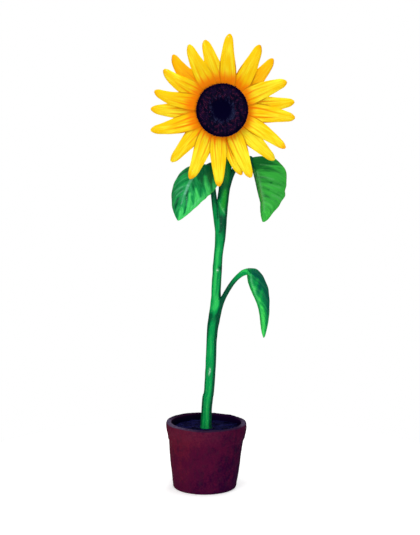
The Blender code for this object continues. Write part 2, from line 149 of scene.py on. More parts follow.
def addPiece(name, forms, paint, node):
    # joins the forms into one mesh with flow and marks attributes, in place of the CAD node
    faces, start = [], 0
    for form in forms:
        for some in form.faces:
            faces += (some + start).tolist()
        start += len(form.points)
    piece = addMesh(name, np.vstack([form.points for form in forms]), faces, paint)
    for key in ("flow", "marks"):
        values = np.vstack([form[key] for form in forms]).astype(np.float32)
        piece.data.attributes.new(key, "FLOAT_VECTOR", "POINT").data.foreach_set("vector", values.ravel())
    piece.data.shade_smooth()
    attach(piece, "root")
    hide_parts(node)


def plain(v, s):
    return 0


def blade(middle, thickness, across, along, relief=plain, backRelief=plain):
    # a closed blade round its middle surface: v runs along, s from edge to edge, the section is a flat oval
    theta = tau * (np.arange(across) + 0.5) / across
    s, side = np.cos(theta)[None, :], np.sin(theta)[None, :]
    v = np.asarray(along)[:, None]
    inner, flat = np.clip(v, 0.004, 0.985), np.clip(s, -0.97, 0.97)
    step = 0.004
    normal = unit(np.cross(middle(inner + step, flat) - middle(inner - step, flat),
                           middle(inner, flat + step) - middle(inner, flat - step)))
    rise = thickness(v, s) / 2 * np.abs(side) ** 0.55 * np.sign(side)
    rise = rise + relief(v, s) * smooth(0, 0.35, side) - backRelief(v, s) * smooth(0, 0.35, -side)
    return middle(v, s) + normal * rise[..., None], v, s


def sums(operation):
    # a Math node as an operator, and its reflected form
    def straight(value, other):
        return value.sum(operation, value, other)
    def reflected(value, other):
        return value.sum(operation, other, value)
    return straight, reflected


class Value:
    # one shader socket, which can be added, subtracted and multiplied
    def __init__(self, paint, socket):
        self.paint, self.socket = paint, socket

    def sum(self, operation, left, right):
        return self.paint.node("Math", {"operation": operation}, {0: left, 1: right})

    __add__, __radd__ = sums("ADD")
    __sub__, __rsub__ = sums("SUBTRACT")
    __mul__, __rmul__ = sums("MULTIPLY")


class Paint:
    # a Principled material, built up node by node
    def __init__(self, name):
        self.material = bpy.data.materials.new(name)
        self.material.use_nodes = True
        self.tree = self.material.node_tree
        self.shader = self.tree.nodes["Principled BSDF"]

    def node(self, kind, settings, inputs, output=0):
        made = self.tree.nodes.new(f"ShaderNode{kind}")
        for key, setting in settings.items():
            setattr(made, key, setting)
        for key, given in inputs.items():
            self.put(made.inputs[key], given)
        return Value(self, made.outputs[output])

    def put(self, socket, given):
        if isinstance(given, Value):
            self.tree.links.new(given.socket, socket)
        else:
            socket.default_value = (*given, 1) if socket.type == "RGBA" else given

    def place(self):
        return self.node("TexCoord", {}, {}, 3)

    def attribute(self, name):
        return self.node("Attribute", {"attribute_name": name}, {}, 1)

    def parts(self, vector):
        split = self.node("SeparateXYZ", {}, {0: vector}).socket.node
        return [Value(self, socket) for socket in split.outputs]

    def noise(self, vector, scale, detail=3, roughness=0.55):
        return self.node("TexNoise", {},
                         {"Vector": vector, "Scale": scale, "Detail": detail, "Roughness": roughness})

    def stretched(self, vector, factors, *how):
        drawn = self.node("VectorMath", {"operation": "MULTIPLY"}, {0: vector, 1: factors})
        return self.noise(drawn, *how)

    def ease(self, value, low, high, start=0, end=1):
        return self.node("MapRange", {"interpolation_type": "SMOOTHSTEP"},
                         {"Value": value, "From Min": low, "From Max": high, "To Min": start, "To Max": end})

    def coats(self, colour, *layers):
        # each layer is a mask and the colour that is laid on where the mask is 1
        for mask, coat in layers:
            colour = self.node("Mix", {"data_type": "RGBA"}, {0: mask, 6: colour, 7: coat}, 2)
        return colour

    def finish(self, inputs, height=None, depth=0):
        if height is not None:
            bump = {"Height": height, "Distance": depth, "Strength": 1}
            inputs["Normal"] = self.node("Bump", {}, bump)
        for name, given in inputs.items():
            self.put(self.shader.inputs[name], given)
        return self.material

    def coated(self, colour, roughness, gloss, height, depth):
        return self.finish({"Base Color": colour, "Roughness": roughness, "Specular IOR Level": gloss},
                           height, depth)


head = Values(centre=(0.063, -0.085, 1.534), discRadius=0.1026, gap=0.0003)

petalShape = Values(
    rootRadius=0.08,
    thickness=0.0044,  # where petals lie on each other
    freeThickness=0.0085,  # beyond that
    rootDepth=0.0021, rowPitch=0.0048, shoulder=0.28, rootWidth=0.62, tipNarrowing=0.626, taper=1.52,
    tipRounding=0.117,
    fullness=0.055,  # how much the middle swells beyond that
    fullPlace=0.44, fullRun=0.17, midway=0.45, dishStart=0.103, dish=0.034, dishRun=0.197,
    freeRadius=0.15, grooveDepth=0.0022, across=72, along=92,
)

# degrees clockwise from the top at root, midway and tip; reach and width in mm; row from the back; lift in
# mm; in hundredths how golden, how orange all over, how orange at the tip and how lined it is painted
# how orange all over is, on the back-row petals 3 and 18, partly painted shade
petalList = (
    (14.5, 7.2, 5.7, 292, 66, 2, 6, 62, 0, 35, 35), (38.5, 34.2, 30.4, 288, 71, 1, 4, 88, 0, 60, 45),
    (50, 48.5, 45, 279, 65, 0, -12, 90, 65, 50, 35), (63, 64, 66.5, 271, 73, 2, 10, 35, 0, 50, 60),
    (81, 83, 83.5, 282, 67, 0, -6, 50, 5, 30, 90), (93, 94.7, 96, 284, 73, 1, 0, 45, 0, 40, 90),
    (113, 117, 120.9, 286, 59.5, 2, 4, 38, 0, 80, 45), (133, 133.6, 133.4, 281, 65, 0, -10, 10, 0, 25, 35),
    (153, 156.2, 156.7, 284, 68, 2, 12, 20, 0, 50, 60), (166, 167, 163.3, 263, 58, 0, -14, 35, 5, 90, 90),
    (190, 185, 182.7, 296, 67, 2, 6, 38, 0, 85, 60), (215, 207.3, 205.5, 295, 69, 1, 2, 25, 0, 80, 60),
    (234, 228, 225, 282, 65, 0, -9, 50, 0, 40, 60), (250, 251, 254.2, 289, 70, 1, -2, 65, 0, 30, 85),
    (270, 269.6, 271, 278, 68, 0, -11, 50, 10, 35, 100), (288, 283.2, 285.3, 272, 66, 2, 10, 92, 0, 60, 90),
    (308, 302.6, 304.2, 274, 70, 1, 2, 60, 0, 40, 90), (318, 313.8, 318, 286, 70, 0, -16, 100, 100, 50, 70),
    (333, 331, 332.6, 281, 68, 2, 8, 60, 0, 30, 50), (354, 348.6, 346, 276, 69, 1, -3, 60, 0, 50, 50),
)


def headPoint(radius, bearing, forward):
    # polar about the head's centre: bearing clockwise from the top, forward towards -Y
    x, y, z = head.centre
    return stack(x + radius * np.sin(bearing), y - forward, z + radius * np.cos(bearing))


def petalHalfWidth(v, width):
    # a sine rise to the shoulder, a power taper after it, and a circle's end at the tip
    p = petalShape
    rise = p.rootWidth + (1 - p.rootWidth) * np.sin(limit(v / p.shoulder) * pi / 2)
    taper = 1 - p.tipNarrowing * limit((v - p.shoulder) / (1 - p.shoulder)) ** p.taper
    tip = np.clip((v - 1 + p.tipRounding) / p.tipRounding, 0, 0.9998)
    return width / 2 * rise * taper * np.sqrt(1 - tip**2)


def petalBearing(v, root, midway, tip):
    # the parabola through the bearings at root, midway and tip
    m = petalShape.midway
    return np.radians((v - m) * (v - 1) / m * root + v * (v - 1) / (m * (m - 1)) * midway
                      + v * (v - m) / (1 - m) * tip)


def petalForm(number, entry):
    p = petalShape
    root, midway, tip, reach, width, row, lift, *painted = entry
    reach, width, lift = (n / 1000 for n in (reach, width, lift))
    golden, warm, tipGlow, lined = (n / 100 for n in painted)
    rng = np.random.default_rng(40 + number)
    depth = head.gap + p.rootDepth + row * p.rowPitch
    swing = rng.uniform(-0.06, 0.06, 3)
    phase = rng.uniform(0, tau, 6)
    strong = rng.uniform(0.55, 1.0, 3)
    cup = rng.uniform(0.002, 0.006)
    hook = rng.uniform(-0.006, 0.004)

    def far(v):
        return p.rootRadius + (reach - p.rootRadius) * v

    def middle(v, s):
        # a surface of revolution near the disc, beyond it lifted, cupped across and hooked at the tip
        radius = far(v)
        free = limit((radius - p.freeRadius) / (reach - p.freeRadius))
        wave = 0.035 * np.sin(9 * v + phase[0] + 0.8 * np.sign(s)) + 0.012 * np.sin(31 * v + phase[5])
        wave = 1 + wave * free + p.fullness * bell(v - p.fullPlace, p.fullRun)
        angle = petalBearing(v, root, midway, tip) + petalHalfWidth(v, width) * wave / radius * s
        dish = p.dish * np.sin(np.clip((radius - p.dishStart) / p.dishRun, 0, 1.2) * 0.62 * pi)
        extra = free**2 * (lift - cup * s**2 + hook * free) + 0.0012 * free * np.sin(11 * v + phase[1])
        return headPoint(radius, angle, depth + dish + extra)

    def grooves(v, s, wide):
        # two long soft valleys that draw together towards the tip, and a fainter one between them
        draw = 0.42 - 0.17 * v
        deep = 0.6 * strong[2] * bell(s + swing[2] * 2 + 0.06 * np.sin(4 * v + phase[4]), wide * 0.8)
        for k, way in enumerate((draw, -draw)):
            place = s + way + 0.05 * np.sin(5 * v + phase[2 + k]) + swing[k]
            deep = np.maximum(deep, strong[k] * bell(place, wide))
        return deep * smooth(1, 0.72, v)

    def thickness(v, s):
        free = smooth(p.freeRadius - 0.01, p.freeRadius + 0.06, far(v))
        free = free * smooth(1.05, 0.6, np.abs(s)) * smooth(1.04, 0.88, v)
        return p.thickness + (p.freeThickness - p.thickness) * free

    def relief(v, s):
        free = smooth(0.108, 0.17, far(v))
        fine = 0.0002 * ripple(s * width / 2, v * 0.02, number, 0.005, 7 + number, 10)
        return -p.grooveDepth * (0.3 + 0.7 * free) * grooves(v, s, 0.17) + fine

    along = np.sin(np.linspace(0, 1, p.along) * pi / 2) ** 1.05 * 0.9995
    rings, v, s = blade(middle, thickness, p.across, along, relief)
    out = np.abs(s)
    line = lined * grooves(v, s, 0.095) * smooth(0.92, 0.4, v)
    # the edge mark is painted shade along both edges near the root, where the petals lie on each other
    edge = smooth(0.8, 0.93, out) * (0.75 + 0.25 * np.sin(7 * v + phase[0])) * smooth(0.68, 0.4, v)
    # orange all over, on the back-row petals partly painted shade, and orange at the tip
    glow = limit(warm * smooth(1.3, 0.55, v) + tipGlow * smooth(0.84, 0.99, v))
    # golder towards the edges, painted shade of the round section beside a painted highlight down the middle
    hue = golden + 0.03 + 0.26 * smooth(0.5, 0.95, out) + 0.22 * smooth(0.75, 1, v)
    flow = stack(s * petalHalfWidth(v, width), far(v), number * 0.37)
    return closedForm(rings, flow, stack(np.where(edge > line, -edge, line), hue, glow))


petalColours = Values(
    lemon=(0.97, 0.8, 0.026), gold=(0.95, 0.58, 0.003), amber=(0.94, 0.39, 0.001), orange=(1, 0.2, 0),
    # the dark brown is the painted shade along the petals' edges
    furrow=(0.88, 0.25, 0.001), contour=(0.46, 0.115, 0.001), bare=(0.9, 0.8, 0.5),
    furrows=0.92,  # how strong the furrows' paint is
    contours=0.75,  # and the painted edge shade's
    glow=0.9,  # and the orange round the disc
    glowStart=0.108,  # radius at which the orange is full
    glowEnd=0.147,
    glowLow=0.065,  # how much less of it there is to the lower right
    roughness=0.5, gloss=0.04,
)


def petalPaint():
    # streaky yellow and gold, orange round the disc and on tips, ochre furrows, and brown painted shade
    # along the edges near the root, where the petals lie on each other and the line mark is below zero
    c = petalColours
    paint = Paint("petalPaint")
    ease = paint.ease
    flow = paint.attribute("flow")
    line, golden, glow = paint.parts(paint.attribute("marks"))
    radius = paint.parts(flow)[1]
    x, z = paint.parts(paint.place())[::2]
    streak = paint.stretched(flow, (260, 16, 9), 1, 4, 0.6)
    broad = paint.stretched(flow, (80, 12, 5), 1, 2, 0.5)
    hue = golden + (streak - 0.5) * 2.5 + (broad - 0.5) * 2.8
    furrow = ease(line * (0.45 + streak), 0.06, 0.66)
    # painted shade where the petals lie on each other
    edge = ease(0 - line, 0.15, 0.85)
    low = (x - head.centre[0]) * 0.55 - (z - head.centre[2]) * 0.83
    reach = radius + (broad - 0.5) * 0.05 + (streak - 0.5) * 0.022 - furrow * 0.02 - (golden - 0.5) * 0.018
    orange = ease(reach + low * c.glowLow, c.glowEnd, c.glowStart, 0, c.glow)
    # pale spots near the tips: partly paint chips, partly painted highlights where the tips curve
    chipAndHighlight = ease(paint.noise(paint.place(), 95, 2, 0.6), 0.68, 0.72)
    colour = paint.coats(
        c.lemon,
        (ease(hue, -0.1, 1), c.gold),
        (ease(glow + (streak + broad - 1) * glow, 0.05, 0.95, 0, 0.9), c.amber),
        (furrow * c.furrows, c.furrow),
        (edge * c.contours, c.contour),
        (orange * (1 - edge * 0.48), c.orange),
        (chipAndHighlight * ease(radius, 0.25, 0.272, 0, 0.45), c.bare))
    roughness = ease(streak, 0.3, 0.8, c.roughness - 0.08, c.roughness + 0.14)
    return paint.coated(colour, roughness, c.gloss, streak, 0.0006)


petalMaterial = petalPaint()
for number, entry in enumerate(petalList, start=1):
    form = petalForm(number, entry)
    addPiece(f"paintedPetal{number:02d}", [form], petalMaterial, f"petal_{number:02d}")
print("petals done")


discShape = Values(
    underside=0.0144, rise=0.034, edgeRise=0.0129, hollowDepth=0.0085, crownRadius=0.0636,
    hubRadius=0.076,
    broader=0.02,  # how far the rim runs past the disc's radius at its sides
    taller=0.04,  # and at its top and bottom
    outline=0.02,  # how far from round the rim is
    cushionDrop=0.0012,  # how far under that shape the florets' ground lies
    florets=1500, floretWidth=0.0029, floretHeight=0.0036, floretSunk=0.0022,
    floretLean=0.12,  # how unevenly they stand
)


def discTop(radius):
    # a cosine-squared hollow inside the crown circle, a quarter ellipse from there to the rim
    d = discShape
    crown = d.underside + d.rise
    inner = crown - d.hollowDepth * np.cos(limit(radius / d.crownRadius) * pi / 2) ** 2
    out = limit((radius - d.crownRadius) / (head.discRadius - d.crownRadius))
    return inner - (d.rise - d.edgeRise) * (1 - np.sqrt(1 - out**2))


def rimWobble(bearing):
    # a little taller than wide, with a few low waves round the rim
    d = discShape
    oval = d.broader + (d.taller - d.broader) * np.cos(bearing) ** 2
    waves = ripple(np.cos(bearing), np.sin(bearing), 0, 1.1, 51)
    return 1 + oval - d.outline * (0.5 + 0.5 * waves)


def discCushion():
    # a profile turned about the head's axis: hub, underside and rim, then the crown
    d = discShape
    rim = head.discRadius - 0.0022
    out = np.sin(np.linspace(0, pi / 2, 40)) * rim
    crown = out[::-1][1:-1]
    hub, under = d.hubRadius, d.underside
    radius = np.concatenate([[0.001, hub, hub, rim - 0.004, rim], crown])[:, None]
    forward = np.concatenate([[0.0003, 0.0003, under, under, under + 0.005], discTop(crown) - d.cushionDrop])
    bearing = turned(144)
    rings = headPoint(radius * rimWobble(bearing), bearing, forward[:, None])
    return closedForm(rings, 0, stack(radius / head.discRadius, 0.02, 0))


def floretForms():
    # sunflower spiral: the nth floret at radius root n and bearing n times the golden angle, on the cushion
    d = discShape
    rng = np.random.default_rng(5)
    count = d.florets
    n = np.arange(count) + 0.5
    radius = (head.discRadius - 0.0028) * np.sqrt(n / count)
    bearing = n * pi * (3 - np.sqrt(5)) + rng.normal(0, 0.01, count)
    slope = (discTop(radius + 0.0005) - discTop(radius - 0.0005)) / 0.001
    outward = stack(np.sin(bearing), 0, np.cos(bearing))
    lean = np.arctan(slope)[:, None] * 0.75
    axis = np.array([0, -1, 0]) * np.cos(lean) - outward * np.sin(lean)
    axis = unit(axis + rng.normal(0, d.floretLean, (count, 3)))
    side = unit(np.cross(axis, [0.31, 0.2, 0.93]))
    other = np.cross(axis, side)
    share = radius / head.discRadius
    size = d.floretWidth * rng.uniform(0.75, 1.15, count) * (0.72 + 0.28 * smooth(0.2, 0.6, share))
    tall = d.floretHeight * rng.uniform(0.45, 1.15, count) * (0.55 + 0.45 * smooth(0.25, 0.5, share))
    base = headPoint(radius * rimWobble(bearing), bearing, discTop(radius) - d.floretSunk)
    turn = turned(6).T
    # half width and height of the four rings of a floret
    wide, high = np.array([[0.55, 0.62, 0.5, 0.22], [0, 0.45, 0.85, 1.05]])[:, None, :, None, None]
    base, axis, side, other = (part[:, None, None] for part in (base, axis, side, other))
    size, tall = (part[:, None, None, None] for part in (size, tall))
    rings = (base + axis * (high * (tall + 0.0015))
             + wide * size * (side * np.cos(turn) + other * np.sin(turn)))
    x, z = radius * np.sin(bearing), radius * np.cos(bearing)
    tint = 0.5 + 0.44 * ripple(x, z, 0, 0.017, 52) + rng.normal(0, 0.07, count)
    # the ring round the hollow is raised towards the lower right: a painted highlight on the hollow's rim
    tint = limit(tint + 0.4 * bell(share - 0.43, 0.07) * np.cos(bearing - 2.1))
    kind = limit(0.5 + 0.46 * ripple(x, z, 0, 0.018, 53) + rng.normal(0, 0.05, count))
    marks = stack(share, tint, kind)
    return [closedForm(ring[:, ::-1], 0, mark) for ring, mark in zip(rings, marks)]


discColours = Values(
    black=(0.0012, 0.0004, 0.015), plum=(0.034, 0.007, 0.054), maroon=(0.105, 0.014, 0.055),
    slate=(0.046, 0.056, 0.15), moss=(0.006, 0.008, 0.022), gloss=0.015,
)


def discPaint():
    # near black, with plum, maroon and mossy blotches in the outer belt, and a painted slate highlight
    # inside it
    c = discColours
    paint = Paint("discPaint")
    ease = paint.ease
    share, tint, kind = paint.parts(paint.attribute("marks"))
    grain = paint.noise(paint.place(), 900, 2)
    belt = ease(share, 0.36, 0.52) * ease(share, 0.94, 0.8)
    # the ring where the painted highlight on the hollow's rim lies
    ring = ease(share, 0.3, 0.4) * ease(share, 0.6, 0.46)
    colour = paint.coats(
        c.black,
        (ease(tint, 0.25, 0.8) * belt, c.plum),
        (ease(kind, 0.58, 0.98) * belt, c.maroon),
        (ease(kind, 0.26, 0.1) * belt * 0.5, c.moss),
        (ease(tint + grain * 0.2, 0.5, 1) * ring, c.slate))
    return paint.coated(colour, ease(grain, 0.3, 0.7, 0.7, 0.9), c.gloss, grain, 0.0004)


addPiece("seedDisc", [discCushion()] + floretForms(), discPaint(), "seed_disc")
print("seed disc done")


calyxShape = Values(
    radius=0.1, depth=0.055, neckRadius=0.03, bracts=11,
    # root radius, reach, width, depth at the root and at the tip, turn in shares of a bract
    rings=((0.052, 0.124, 0.04, -0.044, -0.006, 0), (0.07, 0.134, 0.036, -0.033, -0.006, 0.5),
           (0.04, 0.098, 0.03, -0.05, -0.018, 0.25)),
    thickness=0.0038,
)


def calyxBowl():
    # a cosine shoulder from the face's edge to the neck, with shallow ribs round it
    c = calyxShape
    share = np.linspace(0, 1, 40)
    radius = c.neckRadius + (c.radius - c.neckRadius) * np.cos(share * pi / 2) ** 0.8
    radius = np.concatenate([[0.001, 0.05, c.radius - 0.003], radius[1:], [0.001]])[:, None]
    forward = np.concatenate([[0, 0, 0], -c.depth * share[1:], [-c.depth]])[:, None]
    bearing = turned(110)
    rib = 1 + 0.018 * np.cos(22 * bearing) * smooth(0, 0.02, -forward)
    return closedForm(headPoint(radius * rib, bearing, forward), stack(bearing * 0.05, radius, 0))


def bractForm(i, ring):
    root, reach, width, depth, tipDepth, turn = ring
    rng = np.random.default_rng(int(900 + i + 100 * root))
    bearing = tau * (i + turn) / calyxShape.bracts + rng.normal(0, 0.02)
    swerve = rng.normal(0, 0.006)

    def middle(v, s):
        # a pointed scale: cosine outline, an eased rise towards the petals, a hollow across
        radius = root + (reach - root) * v
        half = width / 2 * np.maximum(np.cos(limit(v) * pi / 2), 0) ** 0.7 + 0.0006
        forward = depth + (tipDepth - depth) * np.sin(limit(v) * pi / 2) ** 1.3 - 0.003 * (1 - s**2)
        return headPoint(radius, bearing + (half * s + swerve * v**2) / radius, forward)

    def thickness(v, s):
        return calyxShape.thickness * (1 - 0.5 * v)

    def keel(v, s):
        return 0.0016 * bell(s, 0.2) * smooth(1, 0.7, v) + 0.0004 * np.cos(9 * s)

    rings, v, s = blade(middle, thickness, 26, np.linspace(0, 0.995, 22), plain, keel)
    flow = stack(s * width / 2, root + (reach - root) * v, i * 0.31 + root * 9)
    return closedForm(rings, flow, stack(0.3 * bell(s, 0.16), 0.5 * v - 0.7 * smooth(0.7, 1, np.abs(s)), 0))


# what the green paints share, where they do not say otherwise
foliage = Values(
    warm=(0.1, 0.3, 0.05), strokes=2.2, clouds=0.9,
    veinFloor=0.5,  # how even the pale marks are
    flecks=0.2,  # how strong the scattered pale flecks are
    roughness=0.46, gloss=0.04,
)
calyxColours = Values(
    deep=(0.003, 0.085, 0.026), body=(0.014, 0.27, 0.058), bright=(0.045, 0.43, 0.07),
    vein=(0.1, 0.44, 0.14), warm=(0.06, 0.16, 0.02), clouds=1.6, veinFloor=0.4, flecks=0.15,
    roughness=0.48,
)


def foliagePaint(name, colours, scale):
    # brushed greens along the flow: the tone runs from deep over body to bright; pale veins, warm margins
    c = Values(foliage, **colours)
    paint = Paint(name)
    ease = paint.ease
    flow = paint.attribute("flow")
    vein, tone, warm = paint.parts(paint.attribute("marks"))
    streak = paint.stretched(flow, scale, 1, 4, 0.6)
    broad = paint.stretched(flow, tuple(n * 0.28 for n in scale), 1, 2, 0.5)
    fine = paint.stretched(flow, tuple(n * 2.6 for n in scale), 1, 2, 0.5)
    speck = paint.noise(paint.place(), 300, 2, 0.6)
    tone = tone + (streak - 0.5) * c.strokes + (broad - 0.5) * c.clouds
    colour = paint.coats(
        c.deep,
        (ease(tone, -0.9, 0.05), c.body),
        (ease(tone, 0, 0.9), c.bright),
        (warm * ease(fine, 0.3, 0.65, 0.4, 1), c.warm),
        (vein * ease(speck, 0.4, 0.58, c.veinFloor, 1), c.vein),
        (ease(speck, 0.64, 0.76, 0, c.flecks), c.vein))
    roughness = ease(streak, 0.3, 0.75, c.roughness - 0.08, c.roughness + 0.12)
    return paint.coated(colour, roughness, c.gloss, streak + fine * 0.5, 0.0008)


calyxPaint = foliagePaint("calyxPaint", calyxColours, (220, 30, 9))
bracts = [bractForm(i, ring) for ring in calyxShape.rings for i in range(calyxShape.bracts)]
addPiece("calyxWithBracts", [calyxBowl()] + bracts, calyxPaint, "calyx")
print("calyx done")


# x, y, height and radius, in tenths of a millimetre
stemPlaces = (
    (-5, 0, 2453, 250), (2, 0, 2620, 226), (26, 0, 3250, 216), (64, 10, 3700, 217), (118, 20, 3990, 206),
    (185, 40, 5100, 213), (220, 50, 6000, 211), (258, 50, 6550, 225), (328, 40, 7000, 237),
    (396, 40, 7530, 228), (404, 40, 7950, 196), (414, 50, 8330, 192), (444, 50, 8770, 188),
    (462, 60, 9140, 185), (494, 70, 9550, 181), (542, 80, 9960, 192), (577, 80, 10360, 220),
    (605, 80, 11000, 233), (660, 80, 11650, 230), (732, 90, 12250, 226), (798, 110, 12900, 226),
    (800, 130, 13700, 225), (710, 170, 14400, 225), (660, 120, 14900, 235), (636, -40, 15240, 255),
    (630, -297, 15340, 270),
)

# the last places of each stalk run on behind its leaf as the start of the midrib
stalkPlaces = Values(
    upper_left=(
        (540, 70, 9850, 80), (492, 60, 10250, 112), (474, 50, 10600, 122), (426, 40, 11000, 125),
        (362, 30, 11500, 122), (308, 40, 11950, 115), (265, 50, 12350, 108), (262, 20, 12750, 102),
        (256, -120, 13050, 98), (215, -300, 13200, 94), (60, -325, 13165, 70), (-130, -400, 13050, 40),
    ),
    upper_right=(
        (690, 40, 11350, 70), (792, 40, 11900, 96), (890, 50, 12350, 98), (1012, 60, 12750, 98),
        (1190, 40, 13100, 96), (1430, -30, 13340, 92), (1752, -120, 13467, 88), (1855, -110, 13300, 72),
        (1915, -170, 13080, 40),
    ),
    lower_right=(
        (400, 40, 6720, 105), (462, 20, 7100, 130), (550, -10, 7480, 126), (680, -30, 7790, 106),
        (855, -70, 8120, 98), (1062, -110, 8446, 96), (1285, -150, 8700, 102), (1495, -190, 8862, 120),
        (1676, -220, 8910, 130), (1770, -190, 8800, 85), (1805, -210, 8560, 40),
    ),
)

# fills the corner between the stem and the upper left stalk
forkPlaces = (
    (560, 90, 9850, 100), (548, 60, 10200, 150), (528, 35, 10550, 176), (512, 20, 10900, 174),
    (500, 15, 11220, 162), (498, 20, 11500, 134), (506, 40, 11730, 86), (520, 60, 11920, 40),
)

stemShape = Values(
    # ribs, their depth, points round the rod and rings from place to place
    stem=(5, 0.022, 56, 18), stalk=(3, 0.03, 36, 16), fork=(3, 0, 40, 12),
    joints=(0.371, 0.915),  # heights of the two faint seams between moulded lengths
    jointSwell=0.028,
)


def rodForm(places, seed, build, joints=(), ends=None):
    # a ribbed round section carried along the curve, its side square to the way by projection of +X;
    # the ends are the ways it sets out and stops, flat and without ribs
    ribs, ribDepth, around, perPlace = build
    row = alongCurve(np.array(places) / 10000, np.linspace(0, 1, perPlace * (len(places) - 1) + 1))
    centre, radius = row[:, :3], row[:, 3:]
    way = unit(np.gradient(centre, axis=0))
    if ends:
        way[0], way[-1] = ends
    side = unit(np.array([1, 0, 0]) - way * way[:, :1])
    other = np.cross(way, side)
    angle = turned(around)
    cos, sin = np.cos(angle), np.sin(angle)
    steps = np.linalg.norm(np.diff(centre, axis=0), axis=1)
    length = np.concatenate([[0], np.cumsum(steps)])[:, None]
    swell = 1 + ribDepth * np.cos(ribs * angle + 1.5 * np.sin(5 * length + seed) + seed)
    swell = swell + 0.012 * ripple(cos * 0.02, sin * 0.02, length, 0.035, seed)
    for joint in joints:
        above = centre[:, 2:] - joint
        collar = between(-0.05, 0, -0.002, 0.012, above) - 0.6 * bell(above - 0.004, 0.003)
        swell = swell + stemShape.jointSwell * collar
    if ends:
        for gone in (length, length[-1] - length):
            swell = 1 + (swell - 1) * smooth(0, 0.02, gone)
    rings = centre[:, None] + (radius * swell)[..., None] * (
        side[:, None] * cos[..., None] + other[:, None] * sin[..., None])
    return rings, stack(0.02 * cos, length, 0.02 * sin + seed * 0.7), length, cos


stemColours = Values(
    deep=(0.0008, 0.07, 0.03), body=(0.0012, 0.29, 0.066), bright=(0.024, 0.52, 0.1),
    vein=(0.55, 0.8, 0.65), warm=(0.012, 0.31, 0.016), clouds=1, veinFloor=0.05, flecks=0.35,
    roughness=0.42,
)
stemPaint = foliagePaint("stemPaint", stemColours, (110, 9, 110))

# hand strokes in hundredths: across from the left (-100) to the right (100) and height in centimetres
# at both ends, then width and strength
stemStrokes = Values(
    tone=(
        (-70, 126, -70, 120, 40, -80), (50, 127.5, 30, 123.5, 60, -50), (15, 121, 15, 115, 40, 35),
        (-85, 117.6, 60, 112, 13, 60), (-90, 115, -50, 111.5, 40, -40), (0, 110, -5, 105.5, 35, -50),
        (-50, 109, -50, 96, 30, 30), (40, 90.8, 60, 90.3, 22, -80), (-45, 88, -50, 80, 20, 40),
        (15, 88, 10, 81, 12, -40), (65, 88, 60, 81, 12, 30), (-30, 81.2, -20, 80, 30, -30),
        (90, 80, 100, 78.5, 35, -80), (90, 77.5, -60, 73.8, 25, 45), (100, 74.5, -20, 70.5, 38, -40),
        (-10, 67, 5, 55, 30, 30), (10, 44, 0, 34, 25, 30), (-70, 39, -80, 31, 30, -30),
        (10, 32, 10, 26.5, 35, 35),
    ),
    warm=(
        # the first warm touch, from 115.5 to 120.5 cm, is a painted highlight
        (15, 120.5, 10, 115.5, 45, 100), (30, 133, 20, 127, 70, 50),
    ),
    # the pale flecks are partly paint chips, partly painted glints of gloss
    pale=(
        (-10, 89.65, 10, 89.5, 10, 100), (-10, 49, -12, 48.4, 15, 100), (-20, 47.6, -22, 47.4, 13, 80),
        (-55, 116.6, 50, 112.7, 8, 20),
    ),
)

# by height in centimetres the stem's tone, and how much deeper its right side is
stemTones = Values(
    # the darker tone from about 125 cm up is painted shadow of the head
    middle=((24, -0.1), (34, -0.05), (50, 0.15), (62, 0.05), (69, -0.35), (71.5, -0.25), (74.8, 0.55),
            (80, 0.45), (90, 0.35), (96, 0.15), (102, 0), (108, -0.2), (115, -0.1), (120, -0.1),
            (125, -0.5), (132, -0.55), (160, -0.6)),
    # the deeper right side is partly painted shade away from the light
    right=((32, 1.8), (44, 1.4), (60, 1.1), (80, 1), (95, 0.7), (115, 0.8), (125, 1.1)),
)


def stemTone(height, across):
    # the tone by height, less at the sides, -1 and 1 across, but for the left one along the fork
    tone, right = (np.interp(height * 100, *np.transpose(stemTones[key])) for key in ("middle", "right"))
    # from 120 cm up the right half is darker still: painted shadow of the head
    tone = tone - 0.6 * smooth(-0.1, 0.6, across) * smooth(1.2, 1.27, height)
    # darker to both sides, most on the right: partly painted shade of the round stem, partly darker edge
    # paint
    tone = tone - right * (smooth(0.3, 0.8, across) - 0.5 * smooth(0.85, 1, across))
    left = smooth(0.6, 0.9, -across) - 0.7 * smooth(0.85, 1, -across)
    return tone - 0.6 * left * (1 - between(0.99, 1.04, 1.17, 1.2, height))


def stemMarks(across, height):
    # pale flecks, tone and warm touches, by the place across from -1 to 1 and the height
    pale, touch, warm = (brush(across, height, 22, stemStrokes[kind]) for kind in ("pale", "tone", "warm"))
    return stack(limit(pale), stemTone(height, across) + touch, limit(warm))


def besideStem(rings):
    # what grows out of the stem takes its marks at the same height and place across
    middle, _, heights, radius = np.transpose(stemPlaces) / 10000
    x, height = rings[..., 0], rings[..., 2]
    across = (x - np.interp(height, heights, middle)) / np.interp(height, heights, radius)
    return stemMarks(np.clip(across, -1, 1), height)


rings, flow, length, cos = rodForm(
    stemPlaces, 3, stemShape.stem, stemShape.joints, ((0, 0, 1), (0, -1, 0)))
form = closedForm(rings, flow, stemMarks(cos, rings[..., 2]))
addPiece("stemRod", [form], stemPaint, "stem")

# tone at even shares from the stem to the leaf
stalkTones = Values(
    upper_left=(0.1, 0, -0.5, -1.2, -1.7, -1.5), upper_right=(-0.6, -1, -1.4, -1.4, -1.2),
    lower_right=(-0.5, -1.1, -1.1, 0.2, 0.8),
)


def title(where):
    return where.title().replace("_", "")


